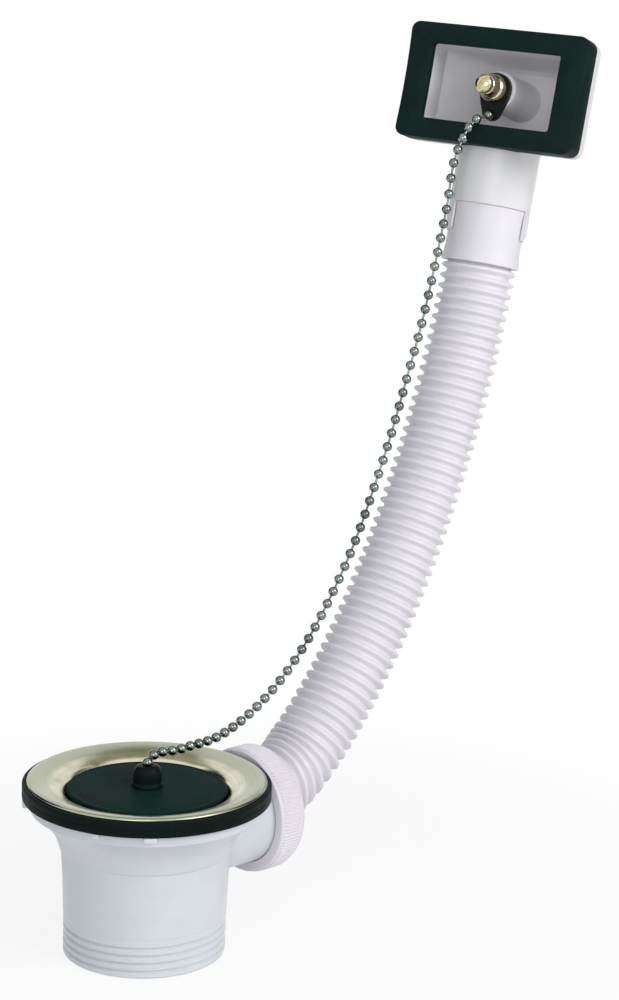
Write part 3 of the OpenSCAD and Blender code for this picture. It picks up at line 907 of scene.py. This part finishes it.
# %% Hose route
HOSE_START = Vector((46.1, -16.4))
HOSE_START_ANGLE = math.radians(28)
HOSE_START_PULL = 46
HOSE_END_PULL = 60
HOSE_R = 11.9
RIB_DEPTH = 1.8
RIB_PITCH = 3.45
SPIGOT = 7.0
LEAN_IN = 22.0
WALL = 0.9


def hose_route(steps=400):
    """The hose's centre line up to its spigot's end, and the length of its ribbed part."""
    start_way = Vector((math.cos(HOSE_START_ANGLE), math.sin(HOSE_START_ANGLE)))
    end_way = Vector((math.sin(HEAD_LEAN), math.cos(HEAD_LEAN)))
    end = Vector((CUFF_RIM.x, CUFF_RIM.z))
    a, b = HOSE_START, HOSE_START + HOSE_START_PULL * start_way
    c, d = end - HOSE_END_PULL * end_way, end
    curve = []
    for i in range(steps + 1):
        t = i / steps
        u = 1 - t
        curve.append(u**3 * a + 3 * u * u * t * b + 3 * u * t * t * c + t**3 * d)
    length = sum((q - p).length for p, q in zip(curve, curve[1:]))
    return [*curve, d + SPIGOT * end_way], length


# %% Geometry Nodes: a ribbed tube
def make_ribbed_tube():
    """Sweeps a circle whose size rises and falls with the length along the line."""
    tree, given, result = shape_tree(
        "ribbed_tube",
        [
            ("Rings", "NodeSocketInt", 800),
            ("Sides", "NodeSocketInt", 48),
            ("Valley Radius", "NodeSocketFloat", 0.0101),
            ("Rib Depth", "NodeSocketFloat", 0.0018),
            ("Rib Pitch", "NodeSocketFloat", 0.00345),
            ("Ribbed Length", "NodeSocketFloat", 0.2),
            ("Lean In", "NodeSocketFloat", 0.022),
        ],
    )
    line = add(tree, "GeometryNodeMeshToCurve", {0: given["Geometry"]}).outputs[0]
    even = add(tree, "GeometryNodeResampleCurve", {"Curve": line, "Count": given["Rings"]}).outputs[0]
    along = add(tree, "GeometryNodeSplineParameter").outputs["Length"]
    phase = calc(tree, "FRACT", calc(tree, "DIVIDE", along, given["Rib Pitch"]))
    from_crest = calc(tree, "MULTIPLY", calc(tree, "ABSOLUTE", calc(tree, "SUBTRACT", phase, 0.5)), 2.0)
    rib = ramp(tree, from_crest, 0.16, 0.78, 1.0, 0.0)
    grown_up = ramp(tree, along, 0.0, 0.004, 0.5, 1.0)
    ended = calc(tree, "LESS_THAN", along, given["Ribbed Length"])
    height = calc(tree, "MULTIPLY", calc(tree, "MULTIPLY", rib, grown_up), ended)
    size = calc(tree, "MULTIPLY_ADD", height, given["Rib Depth"], given["Valley Radius"])
    way = add(tree, "ShaderNodeSeparateXYZ", {0: add(tree, "GeometryNodeInputTangent").outputs[0]}).outputs
    slope = calc(tree, "ARCTAN2", way["Z"], way["X"])
    still_to_lean = ramp(tree, along, 0.0, given["Lean In"], 1.0, 0.0, smooth=False)
    centre = add(tree, "GeometryNodeInputPosition").outputs[0]
    to_lean = calc(tree, "MULTIPLY", slope, still_to_lean)
    kept = even
    for name, value, kind in (("centre", centre, "FLOAT_VECTOR"), ("lean", to_lean, "FLOAT")):
        inputs = {"Geometry": kept, "Name": name, "Value": value}
        kept = add(tree, "GeometryNodeStoreNamedAttribute", inputs, data_type=kind).outputs[0]
    circle = add(tree, "GeometryNodeCurvePrimitiveCircle", {"Resolution": given["Sides"], "Radius": 1.0})
    swept = add(
        tree,
        "GeometryNodeCurveToMesh",
        {"Curve": kept, "Profile Curve": circle.outputs[0], "Scale": size, "Fill Caps": False},
    ).outputs[0]
    middle = add(tree, "GeometryNodeInputNamedAttribute", {"Name": "centre"}, data_type="FLOAT_VECTOR")
    lean = add(tree, "GeometryNodeInputNamedAttribute", {"Name": "lean"}, data_type="FLOAT")
    leaned = add(
        tree,
        "ShaderNodeVectorRotate",
        {"Vector": centre, "Center": middle.outputs[0], "Angle": lean.outputs[0]},
        rotation_type="Y_AXIS",
    ).outputs[0]
    moved = add(tree, "GeometryNodeSetPosition", {"Geometry": swept, "Position": leaned}).outputs[0]
    return hand_over(tree, moved, given, result)


# %% Hose
route, ribbed_length = hose_route()
rib_count = math.floor(ribbed_length / RIB_PITCH)
whole_length = ribbed_length + SPIGOT
RINGS_PER_RIB = 10
hose = line_object("overflow_hose", [(p.x, 0, p.y) for p in route], upright)
grown(
    hose,
    make_ribbed_tube(),
    Rings=round(rib_count * RINGS_PER_RIB * whole_length / ribbed_length),
    Valley_Radius=(HOSE_R - RIB_DEPTH) * MM,
    Rib_Depth=RIB_DEPTH * MM,
    Rib_Pitch=ribbed_length / rib_count * MM,
    Ribbed_Length=ribbed_length * MM,
    Lean_In=LEAN_IN * MM,
)
for name in ("centre", "lean"):
    hose.data.attributes.remove(hose.data.attributes[name])
wall = hose.modifiers.new("wall", "SOLIDIFY")
wall.thickness = WALL * MM
wall.offset = -1
plain_mesh(hose)
print("hose:", round(ribbed_length, 1), "mm between its fittings,", rib_count, "ribs")
done(hose, hose_white, "hose_polymer", "hose", sharp=60)

# %% [markdown]
# ## The hose's lower end and the union nut
# The hose ends on a short tail. Its slanted spigot stands in the hose, and the union nut pulls
# its flange onto the branch's seal. The nut has fine grip ribs round its near half and a smooth
# shoulder behind. The ribs are pressed out of a turned shape by a tree, from the angle round the
# nut's axis.


# %% Geometry Nodes: grip ribs
def make_gripped():
    """Raises straight ribs on a round piece, between two heights along Z."""
    tree, given, result = shape_tree(
        "gripped",
        [
            ("Count", "NodeSocketInt", 108),
            ("Depth", "NodeSocketFloat", 0.4),
            ("Wall Radius", "NodeSocketFloat", 17.0),
            ("From", "NodeSocketFloat", 1.4),
            ("To", "NodeSocketFloat", 8.2),
        ],
    )
    place = add(tree, "GeometryNodeInputPosition").outputs[0]
    apart = add(tree, "ShaderNodeSeparateXYZ", {0: place}).outputs
    angle = calc(tree, "ARCTAN2", apart["Y"], apart["X"])
    wave = calc(tree, "COSINE", calc(tree, "MULTIPLY", angle, given["Count"]))
    rise = ramp(tree, apart["Z"], given["From"], calc(tree, "ADD", given["From"], 0.3))
    fall = ramp(tree, apart["Z"], calc(tree, "SUBTRACT", given["To"], 0.6), given["To"], 1.0, 0.0)
    share = calc(tree, "MULTIPLY", calc(tree, "MULTIPLY", rise, fall), ramp(tree, wave, -0.6, 0.5))
    moved = push_out(tree, given, place, calc(tree, "MULTIPLY", share, given["Depth"]))
    return hand_over(tree, moved, given, result)


# %% Union nut
NUT_R = 19.2
GRIP_DEPTH = 0.4
GRIP_RIBS = 108
NUT_X = 36.8
grip_rows = [(NUT_R - GRIP_DEPTH, 1.3 + 0.25 * i) for i in range(28)]
NUT = [
    (15.8, 0, 0.3), (NUT_R - 0.5, 0, 0.4), (NUT_R - 0.3, 0.7, 0.3), *grip_rows,
    (NUT_R - 0.45, 8.6, 0.5), (NUT_R - 1.3, 10.3, 1.2), (NUT_R - 3.4, 11.3, 1.2), (14.9, 11.4, 0.2),
    (14.9, 9.3), (15.8, 9.3),
]
nut = lathe("union_nut", NUT, Matrix(), sides=GRIP_RIBS * 8)
grown(nut, make_gripped(), Count=GRIP_RIBS, Depth=GRIP_DEPTH, Wall_Radius=17.0, From=1.3, To=8.2)
nut.data.transform(along_branch @ Matrix.Translation((0, 0, NUT_X)))
done(nut, nut_white, "nut_polymer", "collar_nut")

# %% Hose tail
tail_turn = (
    upright
    @ Matrix.Translation((HOSE_START.x, 0, HOSE_START.y))
    @ Matrix.Rotation(math.pi / 2 - HOSE_START_ANGLE, 4, "Y")
)
tail = rod_along("elbow_tail", 45, 46.1, 15.6, 96, 0.2)
spigot = lathe("spigot", [(0, -4), (7.6, -4), (7.6, 6, 0.4), (0, 6)], tail_turn, 96)
carve(tail, [spigot], "UNION")
carve(
    tail,
    [
        lathe("tail_bore", [(0, -10), (6.2, -10), (6.2, 10), (0, 10)], tail_turn, 96),
        block("tail_face", (25, -30, BRANCH_H - 30), (45, 30, BRANCH_H + 30)),
    ],
)
done(tail, cuff_white, "tail_polymer", "hose_tail")

# %% [markdown]
# ## The cuff under the head
# The hose ends in a soft cuff, a little flared, which the head's neck is pushed into. A fine
# line shows where the two meet.


# %% Cuff
CUFF_H = 18.3
CUFF = [
    (12.5, 0, 0.3), (12.45, 1.2, 0.5), (12.0, 3.6, 1.5), (11.9, 15, 3), (12.15, 17.4, 0.4),
    (12.2, CUFF_H, 0.25), (10.9, CUFF_H), (10.9, 26, 0.3), (9.6, 26, 0.3), (9.6, 8), (10.1, 8),
    (10.1, 0, 0.3),
]
cuff = lathe("hose_cuff", CUFF, at_head, sides=128)
done(cuff, cuff_white, "cuff_polymer", "upper_cuff")

# %% [markdown]
# ## Flat frames with round corners
# The gasket and the head's plate are frames: a rounded rectangle outside and another inside.
# Each is built as a stack of outlines joined by walls, so every edge can be softened by adding
# an outline just inside the corner.


# %% Rounded rectangles
FACE_X = -17.6
FACE_Z = 53.8
GASKET_T = 9.0
GASKET_BACK = FACE_X + GASKET_T
PLATE_T = 4.0
PLATE_BACK = GASKET_BACK + PLATE_T
LIP_BACK = FACE_X + 2.2


def rectangle(width, height, radius, corner_steps=6, side_steps=8):
    """The outline of a rounded rectangle, with points along its sides as well."""
    outline = []
    for quarter, (sx, sy) in enumerate(((1, 1), (-1, 1), (-1, -1), (1, -1))):
        centre = Vector((sx * (width / 2 - radius), sy * (height / 2 - radius)))
        for k in range(corner_steps + 1):
            angle = (quarter + k / corner_steps) * math.pi / 2
            outline.append(centre + radius * Vector((math.cos(angle), math.sin(angle))))
        turn = Vector((math.cos(angle), math.sin(angle))) * radius
        after = ((-1, 1), (-1, -1), (1, -1), (1, 1))[quarter]
        goal = Vector((after[0] * (width / 2 - radius), after[1] * (height / 2 - radius))) + turn
        start = outline[-1]
        outline.extend(start.lerp(goal, k / side_steps) for k in range(1, side_steps))
    return outline


def stack(name, sections, place, closed=True, bend=None):
    """Joins sections (x, width, height, radius) with walls. The last joins the first if closed."""
    shape = bmesh.new()
    loops = []
    for x, width, height, radius in sections:
        points = [Vector((x, p.x, p.y)) for p in rectangle(width, height, radius)]
        loops.append([bend(p) for p in points] if bend else points)
    join_loops(shape, loops, closed)
    return to_object(name, shape, place @ Matrix.Translation((0, 0, FACE_Z)))


# %% [markdown]
# ## The rubber gasket
# The gasket presses against the back of the bowl's wall. Rubber frames of this size never stay
# flat in a box: this one is drawn in along one short side and lifts at a lower corner. The bend
# is a smooth push of its points, kept under a millimetre. Behind a thin front lip the window is
# wider, because a white collar of the head stands in it.


# %% Gasket
def slack(point):
    """A soft rubber frame's slight bow: its left side is drawn in and its lower left corner flares."""
    across, up = point.y / 30.0, point.z / 18.3
    draw_in = 0.7 * max(0.0, across) ** 2 * (1 - up * up)
    flare = 0.5 * max(0.0, across) * max(0.0, -up)
    return Vector((point.x + 0.5 * flare, point.y - draw_in, point.z + 0.35 * flare))


GASKET = [
    (FACE_X + 0.5, 59.9, 36.3, 3.0), (FACE_X + 0.12, 59.6, 36.0, 2.8), (FACE_X, 58.9, 35.3, 2.4),
    (FACE_X, 50.0, 29.0, 2.0), (FACE_X, 44.0, 24.6, 1.4), (FACE_X + 0.15, 43.3, 23.9, 1.1),
    (FACE_X + 0.6, 43.0, 23.6, 1.0), (LIP_BACK, 43.0, 23.6, 1.0), (LIP_BACK, 46.4, 27.0, 1.4),
    (GASKET_BACK, 46.4, 27.0, 1.4), (GASKET_BACK, 59.3, 35.7, 2.6),
    (GASKET_BACK - 0.4, 59.7, 36.1, 2.9), (GASKET_BACK - 1.0, 59.9, 36.3, 3.0),
]
gasket = stack("head_gasket", GASKET, at_head, bend=slack)
done(gasket, gasket_black, "gasket_rubber", "overflow_gasket")

# %% [markdown]
# ## The overflow head
# The head is one white moulding: a plate behind the gasket, a funnel that narrows to the back,
# and a neck that goes down into the cuff. A round boss in the funnel takes the screw. The neck
# has two snap tabs that run down over the cuff.


# %% Overflow head
def neck_tab(azimuth):
    """A snap tab: a slice of a thin ring whose lower edge is cut to a wedge."""
    low, high = 10.9, CUFF_H + 1
    ring = [(12.3, high), (13.0, high), (13.0, low, 0.3), (12.3, 9.2)]
    made = lathe("tab", ring, at_head, sides=180)
    half = math.radians(28)
    keep = bmesh.new()
    fan = [Vector((0, 0, 0))]
    for k in range(9):
        angle = math.radians(azimuth) - half + k * half / 4
        fan.append(Vector((30 * math.cos(angle), 30 * math.sin(angle), 0)))
    join_loops(keep, [fan, [p + Vector((0, 0, 30)) for p in fan]])
    return carve(made, [to_object("wedge", keep, at_head)], "INTERSECT")


PLATE = [
    (GASKET_BACK, 59.0, 35.4, 2.8), (GASKET_BACK + 0.25, 59.4, 35.8, 3.0),
    (PLATE_BACK - 0.5, 59.4, 35.8, 3.0), (PLATE_BACK, 58.6, 35.0, 2.8),
]
HOUSING = [
    (PLATE_BACK - 0.5, 49.0, 29.0, 4.0), (10.5, 28.0, 24.0, 4.0), (12.3, 26.6, 22.6, 4.0),
    (13.0, 24.5, 20.5, 3.6),
]
COLLAR_WALL = [
    (LIP_BACK + 0.1, 45.8, 26.4, 1.3), (LIP_BACK + 0.4, 46.2, 26.8, 1.4),
    (GASKET_BACK + 0.5, 46.2, 26.8, 1.4),
]
FUNNEL = [
    (LIP_BACK - 1, 43.2, 23.8, 1.0), (PLATE_BACK - 1.5, 43.0, 23.6, 1.2),
    (PLATE_BACK, 44.0, 24.4, 2.5), (10.0, 24.5, 20.4, 3.0), (11.3, 22.0, 18.0, 2.6),
]
head = stack("overflow_moulding", PLATE, at_head, closed=False)
carve(head, [stack("collar", COLLAR_WALL, at_head, closed=False)], "UNION")
neck = lathe("neck", [(0, CUFF_H), (13, CUFF_H, 0.3), (13, 44.0), (0, 44.0)], at_head, 128)
carve(neck, [block("before_plate", (-40, -40, 37), (PLATE_BACK - 0.6, 40, 60), at_head)])
carve(head, [stack("housing", HOUSING, at_head, closed=False), neck], "UNION")
funnel = stack("funnel", FUNNEL, at_head, closed=False)
boss_turn = at_head @ Matrix.Translation((0, 0, FACE_Z)) @ Matrix.Rotation(math.pi / 2, 4, "Y")
boss = [(0, -10.8), (6, -10.8, 0.5), (6.5, 16), (0, 16)]
carve(funnel, [lathe("boss", boss, boss_turn, 64)])
neck_bore = lathe("neck_bore", [(0, 5), (11, 5), (11, 46), (0, 46)], at_head, 96)
carve(neck_bore, [block("bore_front", (-40, -40, 33.4), (PLATE_BACK, 40, 60), at_head)])
carve(head, [funnel, neck_bore])
carve(head, [lathe("boss_bore", [(0, -12), (2.7, -12), (2.7, 6), (0, 6)], boss_turn, 48)])
carve(head, [neck_tab(-65), neck_tab(115)], "UNION")
done(head, head_white, "head_polymer", "overflow_head")

# %% [markdown]
# ## Screw, collar and chain stay
# A nickel-plated screw and a turned collar clamp a black stay to the boss, and the last ball of
# the chain clips into the stay. The screw's slot stands at an angle, as it was left by hand.


# %% Screw, collar and stay
to_front = at_head @ Matrix.Translation((0, 0, FACE_Z)) @ Matrix.Rotation(-math.pi / 2, 4, "Y")
COLLAR = [
    (2.2, 13.0), (4.3, 13.0, 0.3), (4.4, 15.2, 0.4), (4.1, 16.1, 0.5), (3.3, 16.9, 0.6),
    (3.1, 17.6, 0.3), (3.1, 20.6, 0.25), (2.6, 21.1, 0.2), (2.2, 21.1),
]
SCREW = [
    (0, 24.0), (1.5, 23.8, 0.8), (2.6, 23.1, 0.8), (2.95, 22.0, 0.4), (2.85, 21.1, 0.2),
    (1.8, 21.1), (1.8, -0.3), (1.4, -0.9), (0, -0.9),
]
collar = lathe("nickel_collar", COLLAR, to_front, sides=96)
screw = lathe("nickel_screw", SCREW, to_front, sides=80)
carve(screw, [to_object("slot", slot_cutter(8, 1.2, 3.0, math.radians(-28), 23.8), to_front)])
done(collar, nickel, "nickel", "screw_collar")
done(screw, nickel, "nickel", "overflow_screw")

STAY_FRONT = -13.0
STAY_BACK = -10.9
STAY = [(-5, -1.5), (-5, 1.6), (-3.4, 4.3), (0, 5.4), (3.4, 4.3), (5, 1.6), (5, -1.5), (2.3, -9.3),
        (0, -10), (-2.3, -9.3)]
shape = bmesh.new()
outline = rounded([(x, y, 1.9) for x, y in STAY])
join_loops(shape, [[(x, p.x, p.y) for p in outline] for x in (STAY_FRONT, STAY_BACK)])
rims = [e for e in shape.edges if abs(e.verts[0].co.x - e.verts[1].co.x) < 1e-6]
bmesh.ops.bevel(shape, geom=rims, offset=0.45, segments=3, profile=0.5, affect="EDGES")
stay = to_object("black_stay", shape, at_head @ Matrix.Translation((0, 0, FACE_Z)))
carve(stay, [lathe("eye", [(0, 9), (2.2, 9), (2.2, 15), (0, 15)], to_front, 48)])
done(stay, stay_black, "stay_plastic", "chain_stay")

# %% [markdown]
# ## Floor, light and surroundings
# The object stands in white with no hard shadow. The camera and reflections see plain white, and
# the floor takes only a faint shadow round the outlet. The light on the object comes from a soft
# sky and two large lamps. Bright metal needs something dark to draw its form, so a few darker
# cards stand round it that only reflections can see.


# %% Studio
scene = bpy.context.scene
scene.view_settings.view_transform = "Standard"


def white_where_seen(tree, colour, strength):
    """Plain white to the camera, reflections and glass, and a given light to all else."""
    path = add(tree, "ShaderNodeLightPath").outputs
    seen = calc(tree, "MAXIMUM", path["Is Camera Ray"], path["Is Glossy Ray"])
    seen = calc(tree, "MAXIMUM", seen, path["Is Transmission Ray"])
    shown = mix(tree, seen, colour, (1.0, 1.0, 1.0, 1.0))
    level = ramp(tree, seen, 0.0, 1.0, strength, 1.0, smooth=False)
    return shown, level, seen


world = bpy.data.worlds.new("white_studio")
scene.world = world
world.use_nodes = True
sky = world.node_tree
sky.nodes.clear()
sky_colour, sky_level, _ = white_where_seen(sky, rgb(238, 243, 243), 0.5)
background = add(sky, "ShaderNodeBackground", {"Color": sky_colour, "Strength": sky_level})
add(sky, "ShaderNodeOutputWorld", {"Surface": background.outputs[0]})


def aimed(name, data, place, axis, target):
    """An object at a place, with one of its axes towards a point."""
    made = bpy.data.objects.new(name, data)
    way = Vector(target) - Vector(place)
    made.matrix_world = Matrix.Translation(place) @ way.to_track_quat(axis, "Y").to_matrix().to_4x4()
    bpy.context.collection.objects.link(made)
    return made


def bare_tree(name, mesh):
    """The empty node tree of a new material on a mesh."""
    material = bpy.data.materials.new(name)
    material.use_nodes = True
    material.node_tree.nodes.clear()
    mesh.materials.append(material)
    return material.node_tree


def lamp(name, place, target, size, power, colour):
    """A square area lamp that looks at a point."""
    data = bpy.data.lights.new(name, "AREA")
    data.shape = "SQUARE"
    data.size = size
    data.energy = power
    data.color = colour
    aimed(name, data, place, "-Z", target)


lamp("key", (0.25, -1.1, 0.75), (0.05, 0, 0.14), 0.7, 8.0, (1.0, 0.985, 0.99))
lamp("front", (-0.85, -0.75, 0.45), (0.08, 0, 0.16), 0.6, 3.4, (0.96, 1.0, 0.99))


def card(name, place, target, width, height, colour):
    """A card that only reflections see."""
    mesh = bpy.data.meshes.new(name)
    w, h = width / 2, height / 2
    mesh.from_pydata([(-w, -h, 0), (w, -h, 0), (w, h, 0), (-w, h, 0)], [], [(0, 1, 2, 3)])
    made = aimed(name, mesh, place, "Z", target)
    tree = bare_tree(name, mesh)
    glow = add(tree, "ShaderNodeEmission", {"Color": colour, "Strength": 1.0})
    add(tree, "ShaderNodeOutputMaterial", {"Surface": glow.outputs[0]})
    for kind in ("camera", "diffuse", "transmission", "shadow", "volume_scatter"):
        setattr(made, "visible_" + kind, False)


MIDDLE = (0.05, 0.0, 0.15)
card("dark_right", (1.0, -0.25, 0.3), MIDDLE, 0.75, 1.5, rgb(20, 28, 26))
card("dark_left", (-0.3, 1.0, 0.3), MIDDLE, 0.75, 1.5, rgb(24, 32, 28))
card("olive_top", (0.35, 0.45, 1.1), MIDDLE, 1.2, 0.5, rgb(150, 154, 132))
card("dark_front", (-0.25, -1.1, -0.1), MIDDLE, 0.5, 0.4, rgb(30, 36, 34))

# %% Floor
floor_mesh = bpy.data.meshes.new("floor")
FLOOR_HALF = 6.0
FLOOR_WHITE = 1.04
SHADOW_NEAR = 0.08
SHADOW_FAR = 0.3
SHADOW_CENTRE = (0.06, 0.0, 0.0)
corners = [(x * FLOOR_HALF, y * FLOOR_HALF, 0) for x, y in ((-1, -1), (1, -1), (1, 1), (-1, 1))]
floor_mesh.from_pydata(corners, [], [(0, 1, 2, 3)])
floor = bpy.data.objects.new("floor", floor_mesh)
bpy.context.collection.objects.link(floor)
tree = bare_tree("white_floor", floor_mesh)
_, _, seen = white_where_seen(tree, (1.0, 1.0, 1.0, 1.0), 1.0)
plain = add(tree, "ShaderNodeBsdfDiffuse", {"Color": rgb(236, 236, 234)})
glow = add(tree, "ShaderNodeEmission", {"Color": (1.0, 1.0, 1.0, 1.0), "Strength": FLOOR_WHITE})
place = add(tree, "ShaderNodeTexCoord").outputs["Object"]
away = add(tree, "ShaderNodeVectorMath", {0: place, 1: SHADOW_CENTRE}, operation="DISTANCE")
away = away.outputs["Value"]
share = calc(tree, "MULTIPLY", seen, ramp(tree, away, SHADOW_NEAR, SHADOW_FAR, 0.8, 1.0))
blend = add(tree, "ShaderNodeMixShader", {0: share, 1: plain.outputs[0], 2: glow.outputs[0]})
add(tree, "ShaderNodeOutputMaterial", {"Surface": blend.outputs[0]})
